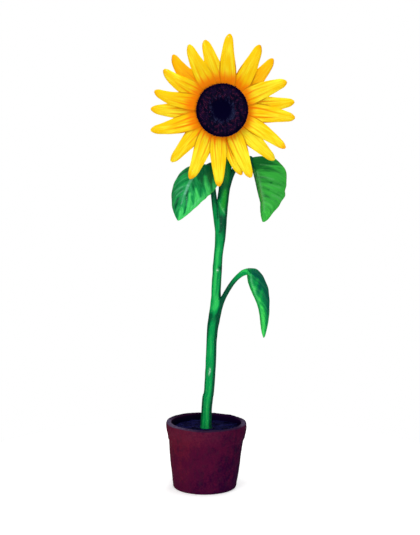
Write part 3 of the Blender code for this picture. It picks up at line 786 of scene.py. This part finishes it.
for seed, (where, tones) in enumerate(stalkTones.items(), start=11):
    rings, flow, length, cos = rodForm(stalkPlaces[where], seed, stemShape.stalk)
    share = length / length.max()
    tone = np.interp(share, np.linspace(0, 1, len(tones)), tones)
    # darker on the +X side beyond mid-length and lighter on the other: painted shade and painted light
    tone = tone - 0.9 * smooth(0.1, 0.9, cos) * smooth(0.35, 0.55, share)
    tone = tone + 0.6 * smooth(0.5, 1, -cos) * smooth(0, 0.5, tone)
    web = []
    if where == "upper_left":
        low = smooth(1.17, 1.08, rings[..., 2])
        tone = tone * (1 - low) + besideStem(rings)[..., 1] * low
        fork, forkFlow = rodForm(forkPlaces, 3, stemShape.fork)[:2]
        marks = besideStem(fork)
        # darker towards the top of the crotch: painted shade
        marks[..., 1] -= 0.7 * smooth(1.13, 1.19, fork[..., 2])
        web = [closedForm(fork, forkFlow, marks)]
    forms = [closedForm(rings, flow, stack(0, tone, 0))] + web
    addPiece(f"stalk{title(where)}", forms, stemPaint, f"stalk_{where}")
print("stem and stalks done")


leafShape = Values(
    curl=0.35, lobeRun=0.4, thickness=0.0042, across=120, along=130, veinDepth=0.0009, midribDepth=0.0011,
    pillow=0.0012,  # how far the blade swells between the veins
)

# midrib places in tenths of a millimetre; for the -X and +X half its fold in degrees, the share in which its
# foot rounds out, how far its lobe is swept back and its widths in mm at even shares; veins a half and their
# slant; the share where the margin's frill starts, its size and phase; how far the folds open at the tip
leafList = Values(
    upper_left=Values(
        midrib=(
            (215, -300, 13200), (-83, -460, 13116), (-380, -560, 12921), (-609, -640, 12608),
            (-786, -700, 12215), (-929, -730, 11782), (-1026, -720, 11385), (-1111, -680, 10997),
        ),
        left=(46, 0.16, -0.02, (17, 41, 67, 86, 97, 97, 80, 56, 10)),
        right=(16, 0.12, 0.012, (79, 101, 113, 111, 101, 85, 63, 37, 6)),
        seed=21, wave=0.5, veins=7, slant=2.2, frill=(0.12, 0.011, 2.1), opening=0,
    ),
    upper_right=Values(
        midrib=(
            (1752, -120, 13437), (1893, -200, 13235), (1988, -280, 12945), (2090, -340, 12558),
            (2172, -380, 12142), (2252, -390, 11724), (2280, -370, 11324), (2284, -320, 10915),
        ),
        left=(78, 0.06, 0.007, (48, 72, 92, 98, 94, 82, 64, 44, 18)),
        right=(14, 0.12, 0.001, (66, 93, 113, 129, 122, 109, 86, 48, 13)),
        seed=22, wave=0.7, veins=8, slant=1.6, frill=(0.5, 0.03, 3.74), opening=0.1,
    ),
    lower_right=Values(
        midrib=(
            (1676, -220, 8930), (1760, -255, 8841), (1808, -300, 8506), (1952, -350, 8079),
            (2112, -390, 7682), (2220, -410, 7300), (2292, -400, 6932), (2325, -380, 6562),
            (2319, -360, 6240),
        ),
        left=(64, 0.12, 0, (37, 43, 41, 33, 27, 28, 36, 32, 6)),
        right=(26, 0.09, 0.012, (18, 42, 67, 71, 57, 43, 30, 16, 6)),
        seed=23, wave=0.5, veins=6.5, slant=1.9, frill=(0.12, 0.011, 4.3), opening=0,
    ),
)


def leafForm(entry):
    p = leafShape
    seed, slant = entry.seed, entry.slant
    midrib = np.array(entry.midrib) / 10000

    def halfWidth(v, half):
        # a curve through the widths, times a quarter circle at the foot and one at the tip
        widths = np.array([(width / 1000, 0) for width in half[3]])
        foot = np.sqrt(1 - (1 - limit(v / half[1])) ** 2 * 0.9)
        return alongCurve(widths, v)[..., 0] * foot * np.sqrt(1 - limit((v - 0.96) / 0.04) ** 2 * 0.9)

    def middle(v, s):
        # the midrib's curve plus a step out along the fold, which curls further towards the margin
        v, s = np.broadcast_arrays(limit(v), s)
        way = unit(alongCurve(midrib, v + 1 / 3) - alongCurve(midrib, v - 1 / 3))
        side = unit(stack(-way[..., 2], 0, way[..., 0]))
        face = np.cross(way, side)
        isLeft, out = s < 0, np.abs(s)
        left, right = entry.left, entry.right
        half = np.where(isLeft, halfWidth(v, left), halfWidth(v, right))
        fold = np.radians(np.where(isLeft, left[0], right[0])) + p.curl * (out - 0.5)
        fold = fold * (1 - entry.opening * smooth(0.72, 0.88, v))
        lobe = np.where(isLeft, left[2], right[2]) * out**1.5 * limit(1 - v / p.lobeRun) ** 2
        wave = 0.003 * np.sin(26 * v + 2 * isLeft + seed) + 0.0012 * np.sin(61 * v + seed)
        wave = entry.wave * wave * out**3 * between(0.12, 0.3, 0.88, 1, v)
        start, size, phase = entry.frill
        frill = size * between(start, start + 0.14, 0.88, 1, v)
        half = half * (1 + frill * np.sin(43 * v + phase + 1.3 * isLeft))
        step = side * (np.where(isLeft, -1, 1) * np.cos(fold))[..., None] - face * np.sin(fold)[..., None]
        step = step * (half * out)[..., None] + face * wave[..., None] - way * lobe[..., None]
        return alongCurve(midrib, v) + step

    def veins(v, s):
        # side veins leave the midrib at even steps and run out and forward: steps so far, how near the next
        # vein is, how strong it shows, and the midrib too
        out = np.abs(s)
        steps = v * entry.veins - out**1.15 * slant + 0.5 * (s < 0)
        near = np.abs(steps - np.round(steps))
        branch = bell(near, 0.075 + 0.05 * out) * smooth(1, 0.75, out) * between(0.05, 0.12, 0.86, 0.97, v)
        return steps, near, branch, bell(s, 0.035 + 0.05 * v)

    def relief(v, s):
        near, branch, rib = veins(v, s)[1:]
        pillow = p.pillow * np.sin(pi * limit(near * 2)) * between(0, 0.12, 0.7, 1, np.abs(s))
        return (pillow - p.veinDepth * branch - p.midribDepth * rib) * between(0.02, 0.1, 0.9, 1, v)

    def backRelief(v, s):
        return 0.001 * veins(v, s)[2] + 0.0034 * bell(s, 0.07) * smooth(1, 0.6, v)

    def thickness(v, s):
        return p.thickness * (1 - 0.35 * np.abs(s)) * (1 - 0.4 * v)

    t = np.linspace(0, 1, p.along)
    along = np.clip((0.5 - 0.5 * np.cos(pi * t)) * 0.35 + t * 0.65, 0, 0.998)
    rings, v, s = blade(middle, thickness, p.across, along, relief, backRelief)
    steps, _, branch, rib = veins(v, s)
    flow = stack(steps * 0.03, np.abs(s) * 0.1 + v * 0.02, seed * 0.7 + 0.4 * (s < 0))
    return rings, flow, v, s, branch, rib


# broad washes in hundredths: strength, where along the leaf they set in and are full, and the same across;
# -200, -100 is everywhere
leafWashes = Values(
    upper_left=(
        # the wash of strength -80 darkens the leaf's foot below the head: painted shadow of the head
        (60, 40, 75, -10, 40), (-15, -200, -100, 20, -30), (-80, 50, 15, 75, 35),
        (50, -200, -100, 50, 85), (30, 80, 100, -200, -100),
    ),
    upper_right=(
        # the wash of strength -130 darkens the foot all across: painted shadow of the head
        (12, -200, -100, 30, 90), (-130, 50, 5, -200, -100), (52, 50, 5, 30, 90), (35, 60, 95, -200, -100),
        (-30, 90, 70, 0, -40), (-5, -200, -100, -200, -100),
    ),
    lower_right=((45, -200, -100, 0, -50), (30, 60, 90, -200, -100), (-55, 95, 45, 5, 50)),
)


def leafMarks(where, v, s, branch, rib):
    # how pale the veins are, the tone by washes and strokes, and the warm line along the margin
    margin = smooth(0.93, 0.99, np.abs(s))
    pale = brush(s, v, 2.6, leafPales[where])
    tone = brush(s, v, 2.6, leafTones[where])
    for strength, low, high, near, far in np.array(leafWashes[where]) / 100:
        tone = tone + strength * smooth(low, high, v) * smooth(near, far, s)
    if where == "upper_left":
        pale = pale + 0.13 * branch * smooth(0.2, -0.1, s)
        margin = margin + 0.3 * smooth(0.48, 0.2, v) * smooth(0.1, 0.5, s)
    elif where == "upper_right":
        pale = pale + 0.12 * branch * smooth(0.2, 0.5, v)
        tone = tone - 0.34 * branch * smooth(0.95, 0.6, np.abs(s))
        margin = 0.6 * margin + 1.2 * bell(s + 0.02, 0.05) * bell(v - 0.62, 0.13)
    else:
        pale = pale + 0.12 * rib + 0.1 * branch
        margin = 0
    return stack(limit(pale), tone, 0.6 * limit(margin))


# hand strokes in hundredths: across from one margin (-100) to the other (100) and along from foot to tip at
# both ends, then width and strength
leafTones = Values(
    upper_left=(
        (8, 60, 43, 87, 6, -120), (18, 60, 55, 81, 6, 100), (33, 50, 65, 62, 6, 90),
        (33, 24, 85, 42, 6.9, 110), (8, 42, 28, 52, 6.9, -48), (3, 17, 23, 30, 11.5, -72),
        (-33, 70, -43, 84, 6, -40), (3, 87, 8, 96, 13.8, 80), (35, 62, 75, 74, 5, -70),
        (-10, 66, -25, 86, 6, 40), (52, 18, 90, 30, 8.05, -78), (73, 63, 76, 80, 9.2, 48),
        (-18, 51, -52, 63, 4.6, 48), (-79, 44, -65, 54, 9.2, -24), (43, 41, 69, 56, 5.75, -36),
        (-23, 60, -28, 72, 6.9, -30),
    ),
    upper_right=(
        (28, 29, 79, 37, 3, -25), (3, 43, 38, 49, 3, -50), (38, 49, 73, 54, 3, -38),
        (13, 52, 28, 57, 4.2, -38), (28, 57, 69, 66, 3, -29), (13, 62, 33, 70, 3.6, -29),
        (18, 50, 61, 61, 3.6, 29), (33, 42, 76, 50, 4.8, 17), (96, 35, 100, 59, 9.6, 21),
        (18, 76, 43, 94, 14.4, 21), (8, 7, -3, 21, 12, -40), (30, 24, 75, 31, 3, 25),
        (28, 23, 69, 30, 3, 25), (33, 67, 76, 73, 3, 21), (48, 78, 48, 89, 9.6, 21),
    ),
    lower_right=(
        (-43, 17, -38, 30, 13.2, -55), (88, 24, 82, 41, 16.5, -66), (82, 41, 79, 58, 14.3, -66),
        (28, 14, 65, 21, 22, -50), (48, 24, 8, 34, 7.7, 50), (48, 38, 8, 48, 7.7, 44),
        (18, 58, -8, 92, 22, 61), (61, 30, 18, 38, 7.7, -28), (69, 65, 52, 81, 13.2, -50),
        (3, 27, -3, 43, 11, 33),
    ),
)
leafPales = Values(
    upper_left=(
        (0, 36, 0, 51, 2.3, 110), (0, 51, 0, 62, 2.5, 130), (0, 62, -1, 76, 2, 100),
        (-13, 59, -43, 68, 2.5, 30), (-23, 55, -65, 64, 2, 30), (8, 50, 33, 60, 2, 10),
        (76, 61, 73, 74, 5, 25), (13, 65, 33, 76, 2, 30),
    ),
    upper_right=(
        (-12, 24, -12, 40, 5, 50), (22, 20, 60, 27, 2.2, 35), (30, 50, 72, 57, 2.2, 35),
        (3, 30, 2, 58, 4, 50), (4, 60, 5, 84, 5, 40), (12, 38, 48, 45, 2.2, 35), (40, 64, 85, 72, 3, 40),
        (15, 72, 50, 80, 3, 30),
    ),
    lower_right=(
        (10, 5, 3, 23, 5, 30), (3, 23, 3, 36, 5, 30), (3, 36, -3, 50, 4, 20),
    ),
)

leafColours = Values(
    upper_left=Values(
        deep=(0.001, 0.11, 0.035), body=(0.011, 0.35, 0.08), bright=(0.07, 0.72, 0.15),
        vein=(0.26, 0.68, 0.5), strokes=2.4, clouds=1, veinFloor=0.75,
    ),
    upper_right=Values(
        deep=(0.004, 0.125, 0.021), body=(0.037, 0.415, 0.05), bright=(0.062, 0.6, 0.062),
        vein=(0.17, 0.48, 0.22), warm=(0.15, 0.17, 0.05), roughness=0.5,
    ),
    lower_right=Values(
        deep=(0.001, 0.1, 0.056), body=(0.004, 0.3, 0.062), bright=(0.05, 0.68, 0.095),
        vein=(0.16, 0.66, 0.3), roughness=0.44,
    ),
)

for where, entry in leafList.items():
    rings, flow, *rest = leafForm(entry)
    paint = foliagePaint(f"leafPaint{title(where)}", leafColours[where], (120, 16, 5))
    form = closedForm(rings, flow, leafMarks(where, *rest))
    addPiece(f"leaf{title(where)}", [form], paint, f"leaf_{where}")
print("leaves done")


potShape = Values(
    height=0.272, rimRadius=0.165, mouthRadius=0.142, rimRounding=0.009, bandDepth=0.068,
    bandTaper=0.006, bandStep=0.0055, baseRadius=0.1305, baseRounding=0.008, wall=0.016,
    floor=0.018, around=240, unevenness=0.0014, grit=0.0004,
    flare=0.0008,  # how far the band's top stands out over the foot's taper
    lean=-0.0062,  # how far the foot sits to the left of the mouth
    sway=0.0022,  # how far the band's foot sits to the right of that slant
    bulge=0.0022,  # how far the band swells
    skew=0.0024,  # how much higher the lip is on its left
    dip=0.0035,  # how far the lip sags at the front
)


def potProfile():
    # radius and height from the underside's middle, up the outside, over the round lip and down inside
    p = potShape
    def arc(radius, height, rounding, start, end, count):
        angle = np.radians(np.linspace(start, end, count))
        return stack(radius + rounding * np.cos(angle), height + rounding * np.sin(angle))
    top, rim, mouth, bend = p.height, p.rimRadius, p.mouthRadius, p.rimRounding
    base, turn, floor = p.baseRadius, p.baseRounding, p.floor
    foot, band = top - p.bandDepth, rim - p.bandTaper
    step = np.array([[-0.0042, -0.0045], [-0.0026, -0.0018], [-0.001, 0.0015], [-0.0001, 0.006]])
    return np.vstack([
        [[0.002, 0], [0.06, 0], [0.1, 0]],
        arc(base - turn, turn, turn, -90, 0, 8),
        np.linspace([base, 0.012], [band - p.bandStep, foot - 0.007], 60),
        step + [band, foot],
        np.linspace([band, foot + 0.009], [rim, top - 0.011], 22),
        arc(rim - bend, top - bend, bend, 0, 90, 10),
        arc(mouth + bend, top - bend, bend, 90, 180, 10),
        np.linspace([mouth - 0.0002, top - 0.011], [base - p.wall, floor], 26),
        [[0.06, floor], [0.002, floor]],
    ])


def potForm():
    # the profile turned, with waves, grit, a swelling band, a leaning foot and an uneven lip; its marks say
    # how far inside, on the lip and worn a point is, the wear partly a painted highlight at the lip's ends
    p = potShape
    top = p.height
    profile = potProfile()
    radius, height = profile[:, :1], profile[:, 1:]
    angle = turned(p.around)
    cos, sin = np.cos(angle), np.sin(angle)
    x, y, z = radius * cos, radius * sin, height + 0 * angle
    free = smooth(0, 0.03, height) * smooth(0.02, 0.1, radius)
    rough = p.unevenness * ripple(x, y, z, 0.16, 61) + p.grit * ripple(x, y, z, 0.011, 62, 22)
    inside = (np.arange(len(profile))[:, None] > len(profile) - 33) * smooth(0.2717, 0.269, height)
    flare = p.flare * smooth(top - p.bandDepth - 0.01, top, height)
    flare = flare + p.bulge * bell(height - 0.243, 0.018)
    out = radius + (rough * free + flare) * (1 - inside)
    lip = 0.0013 * ripple(x, y, z, 0.09, 63) + 0.0004 * ripple(x, y, z, 0.014, 64)
    lip = lip - p.skew * x / p.rimRadius - p.dip * smooth(0.3, 0.9, -sin) * bell(x - 0.03, 0.07)
    lean = (p.lean * (1 - height / top) + p.sway * bell(height - 0.225, 0.035)) * (1 - inside)
    rings = stack(out * cos + lean, out * sin, z + lip * smooth(0.235, 0.27, height))
    rim = smooth(top - 0.0055, top - 0.0015, z) * (1 - inside)
    # paler at the lip's left and right ends and on its front: partly worn paint, partly painted highlight
    ends = 0.9 * smooth(0.1, 0.85, -cos) + 0.7 * smooth(0.75, 1, cos)
    wearAndHighlight = rim * (0.12 + ends) * smooth(-0.8, 0.1, -sin)
    # the inside, and in part the back of the lip, take the near-black inside colour: painted shade
    depth = inside * (0.94 + 0.06 * smooth(0.268, 0.25, z)) + 0.7 * rim * smooth(0.05, 0.6, sin)
    return closedForm(rings, 0, stack(depth, 0.9 * rim, limit(wearAndHighlight)))


potColours = Values(
    plum=(0.016, 0.0003, 0.017), maroon=(0.06, 0.003, 0.022), red=(0.108, 0.007, 0.022),
    dusk=(0.016, 0.0075, 0.019), dust=(0.092, 0.015, 0.037), worn=(0.1, 0.075, 0.135),
    # the inside colours are painted shade, lighter to the right where the inner wall faces the light
    lip=(0.014, 0.0035, 0.024), inside=(0.0008, 0.0004, 0.0105), insideRight=(0.0055, 0.0004, 0.02),
    warmLeft=4.2,  # how fast it turns redder and lighter to the left, partly painted light
    warmUp=2.9,  # and upwards, partly painted light
    roughness=0.8, gloss=0.01,
)


def potPaint():
    # maroon clay, redder to the upper left and plum to the lower right, partly painted light, with a lip
    # worn and partly painted highlight at its ends, and an inside painted dark as shade
    c = potColours
    paint = Paint("potPaint")
    ease = paint.ease
    place = paint.place()
    x, _, height = paint.parts(place)
    inside, lipMark, wearAndHighlight = paint.parts(paint.attribute("marks"))
    cloud = paint.noise(place, 14)
    patch = paint.stretched(place, (1, 1, 0.6), 46, 3, 0.6)
    mottle = paint.noise(place, 130, 4, 0.65)
    grain = paint.noise(place, 480, 3, 0.6)
    dusk = paint.stretched(place, (1, 1, 0.5), 62, 3, 0.6)
    # redder and lighter to the upper left and on the band's left: partly painted light; the noise is the
    # mottle
    warmthAndLight = x * -c.warmLeft + height * c.warmUp - 0.1
    warmthAndLight = warmthAndLight + (cloud - 0.5) * 1.2 + (patch - 0.5) * 1.2 + (mottle - 0.5) * 1.7
    warmthAndLight = warmthAndLight + ease(height, 0.18, 0.215) * ease(height, 0.262, 0.235) * ease(x, 0.02, -0.07) * 0.4
    dusty = ease(height, 0.185, 0.262) * ease(x, 0.14, -0.06, 0.1, 1)
    # painted shade inside the pot, lighter on its right wall
    insideShade = paint.coats(c.inside, (ease(x, -0.03, 0.09), c.insideRight))
    colour = paint.coats(
        c.plum,
        (ease(warmthAndLight, -0.55, 0.45), c.maroon),
        (ease(warmthAndLight, 0.45, 1.35, 0, 0.9), c.red),
        (ease(dusk + mottle * 0.4, 0.66, 1, 0, 0.5), c.dusk),
        (dusty * ease(mottle + patch * 0.6, 0.62, 0.98, 0.1, 0.5), c.dust),
        (ease(grain + mottle, 1.18, 1.38, 0, 0.1), c.worn),
        (lipMark, c.lip),
        (wearAndHighlight * ease(mottle + grain * 0.5, 0.56, 0.88, 0.25, 1), c.worn),
        (inside, insideShade))
    rough = ease(mottle, 0.3, 0.7, c.roughness - 0.1, c.roughness + 0.12)
    return paint.coated(colour, rough, c.gloss, mottle + grain * 0.6, 0.0016)


addPiece("plantPot", [potForm()], potPaint(), "pot")
print("pot done")


soilShape = Values(
    level=0.245, foot=0.0183,
    gap=0.0006,  # between the soil and the wall
    swell=0.002, lumps=0.0009, grains=0.0006, around=220, rings=90, crumbs=900,
)


def wallRadius(height):
    # the pot's inside wall: a straight taper from the mouth to the floor
    p = potShape
    foot = p.baseRadius - p.wall
    return foot + (p.mouthRadius - foot) * (height - p.floor) / (p.height - p.floor)


def soilHeight(x, y):
    # swells, lumps and grains about the level, flat where the stem stands
    p = soilShape
    loose = smooth(0.024, 0.045, np.hypot(x, y))
    swell = p.swell * ripple(x, y, 0, 0.07, 71) + p.lumps * ripple(x, y, 0, 0.012, 72, 24)
    return p.level + loose * (swell + p.grains * ripple(x, y, 0, 0.005, 73, 24))


def soilForm():
    p = soilShape
    edge, foot = (wallRadius(p[key]) - p.gap for key in ("level", "foot"))
    radius = np.concatenate([[0.002, 0.06, foot, edge], np.linspace(edge, 0.003, p.rings)[1:]])[:, None]
    angle = turned(p.around)
    x, y = radius * np.cos(angle), radius * np.sin(angle)
    z = soilHeight(x, y)
    z[:3] = p.foot
    return closedForm(stack(x, y, z), 0, (0.5, 0, 0))


def crumbForms():
    # small lumps: a six-sided ball of three rings, squashed and turned at random, half sunk in the soil
    p = soilShape
    count = p.crumbs
    rng = np.random.default_rng(9)
    edge = wallRadius(p.level) - 0.006
    radius = np.sqrt(rng.uniform(0.028**2, edge**2, count))
    angle = rng.uniform(0, tau, count)
    x, y = radius * np.cos(angle), radius * np.sin(angle)
    size = 0.001 + 0.0026 * rng.beta(1.3, 4, count)
    z = soilHeight(x, y) + size * 0.3
    x, y, z, size = (part[:, None, None] for part in (x, y, z, size))
    rise = np.array([-0.75, -0.1, 0.7])[:, None]
    girth = size * (np.sqrt(1 - rise**2) * rng.uniform(0.8, 1.2, (count, 3, 6)))
    turn = turned(6) + rng.uniform(0, tau, (count, 1, 1))
    rings = stack(x + girth * np.cos(turn), y + girth * np.sin(turn), z + size * 0.8 * rise)
    return [closedForm(ring, 0, (tint, 0, 0)) for ring, tint in zip(rings, rng.uniform(0, 1, count))]


soilColours = Values(
    dark=(0.0008, 0.0005, 0.009), mid=(0.0066, 0.006, 0.054), light=(0.017, 0.022, 0.085), roughness=0.85,
    gloss=0.02,
)


def soilPaint():
    # near-black with a blue cast, grain by grain
    c = soilColours
    paint = Paint("soilPaint")
    place = paint.place()
    tint = paint.parts(paint.attribute("marks"))[0]
    grain = paint.noise(place, 420, 4, 0.65)
    damp = paint.stretched(place, (0.7, 1, 1), 42, 3, 0.6)
    colour = paint.coats(
        c.dark,
        (paint.ease(grain * 0.5 + damp, 0.62, 0.86), c.mid),
        (paint.ease(tint + (grain - 0.5) + (damp - 0.5) * 1.6, 0.7, 1.15, 0, 0.8), c.light))
    return paint.coated(colour, c.roughness, c.gloss, grain, 0.0015)


addPiece("pottingSoil", [soilForm()] + crumbForms(), soilPaint(), "soil")
print("soil done")


studio = Values(
    floorRadius=1.2, floorColour=(0.88, 0.88, 0.88), floorGlow=0.46,
    world=0.3,  # as light; the camera sees it white
    # place, aim, size, power, colour
    lights=(
        ((-2.1, -3, 4.2), (0.05, 0, 1.05), 2.6, 60, (1, 0.99, 0.97)),
        ((0.6, -4.6, 1.1), (0.05, 0, 1.1), 2.4, 104, (1, 1, 1)),
        ((0.3, -0.5, 5.2), (0.05, -0.2, 0), 3, 110, (1, 1, 1)),
        ((1.6, 4, 2.6), (0.05, 0, 1.1), 2.6, 70, (1, 1, 1)),
    ),
    camera=(0.0155, -4.8, 1.422), pitch=83.86, lens=80.36,
)


def addFloor():
    # a round level sheet of rings, just under the pot
    radius = np.linspace(0.01, studio.floorRadius, 24)[:, None]
    angle = turned(96)
    points = stack(radius * np.cos(angle), radius * np.sin(angle), -0.0004)
    n, m = points.shape[:2]
    faces = ringFaces(n, m)[:, [0, 3, 2, 1]].tolist() + [list(range(m))]
    colour = studio.floorColour
    paint = Paint("floorPaint").finish({"Base Color": colour, "Roughness": 0.9, "Emission Color": colour,
                                        "Emission Strength": studio.floorGlow})
    floor = addMesh("paleFloor", points.reshape(-1, 3), faces, paint)


def addWorld():
    # soft white all round, weaker as light than as the ground seen behind the plant
    world = bpy.data.worlds.new("paleWorld")
    world.use_nodes = True
    nodes, links = world.node_tree.nodes, world.node_tree.links
    seen = nodes.new("ShaderNodeMapRange")
    seen.inputs["To Min"].default_value = studio.world
    seen.inputs["To Max"].default_value = 1
    links.new(nodes.new("ShaderNodeLightPath").outputs["Is Camera Ray"], seen.inputs["Value"])
    nodes["Background"].inputs["Color"].default_value = (1, 1, 1, 1)
    links.new(seen.outputs[0], nodes["Background"].inputs["Strength"])
    bpy.context.scene.world = world


def addLight(name, place, aim, size, power, colour):
    light = bpy.data.lights.new(name, "AREA")
    light.shape, light.size, light.energy, light.color = "DISK", size, power, colour
    x, y, z = np.subtract(aim, place)
    addThing(name, light, place, (np.arctan2(np.hypot(x, y), -z), 0, np.arctan2(-x, y)))


addFloor()
addWorld()
for number, light in enumerate(studio.lights):
    addLight(f"softLight{number}", *light)
bpy.context.scene.view_settings.view_transform = "Standard"

view = bpy.data.cameras.new("frontView")
view.lens, view.sensor_width, view.sensor_fit = studio.lens, 36, "AUTO"
bpy.context.scene.camera = addThing("frontView", view, studio.camera, (radians(studio.pitch), 0, 0))
print("studio done")
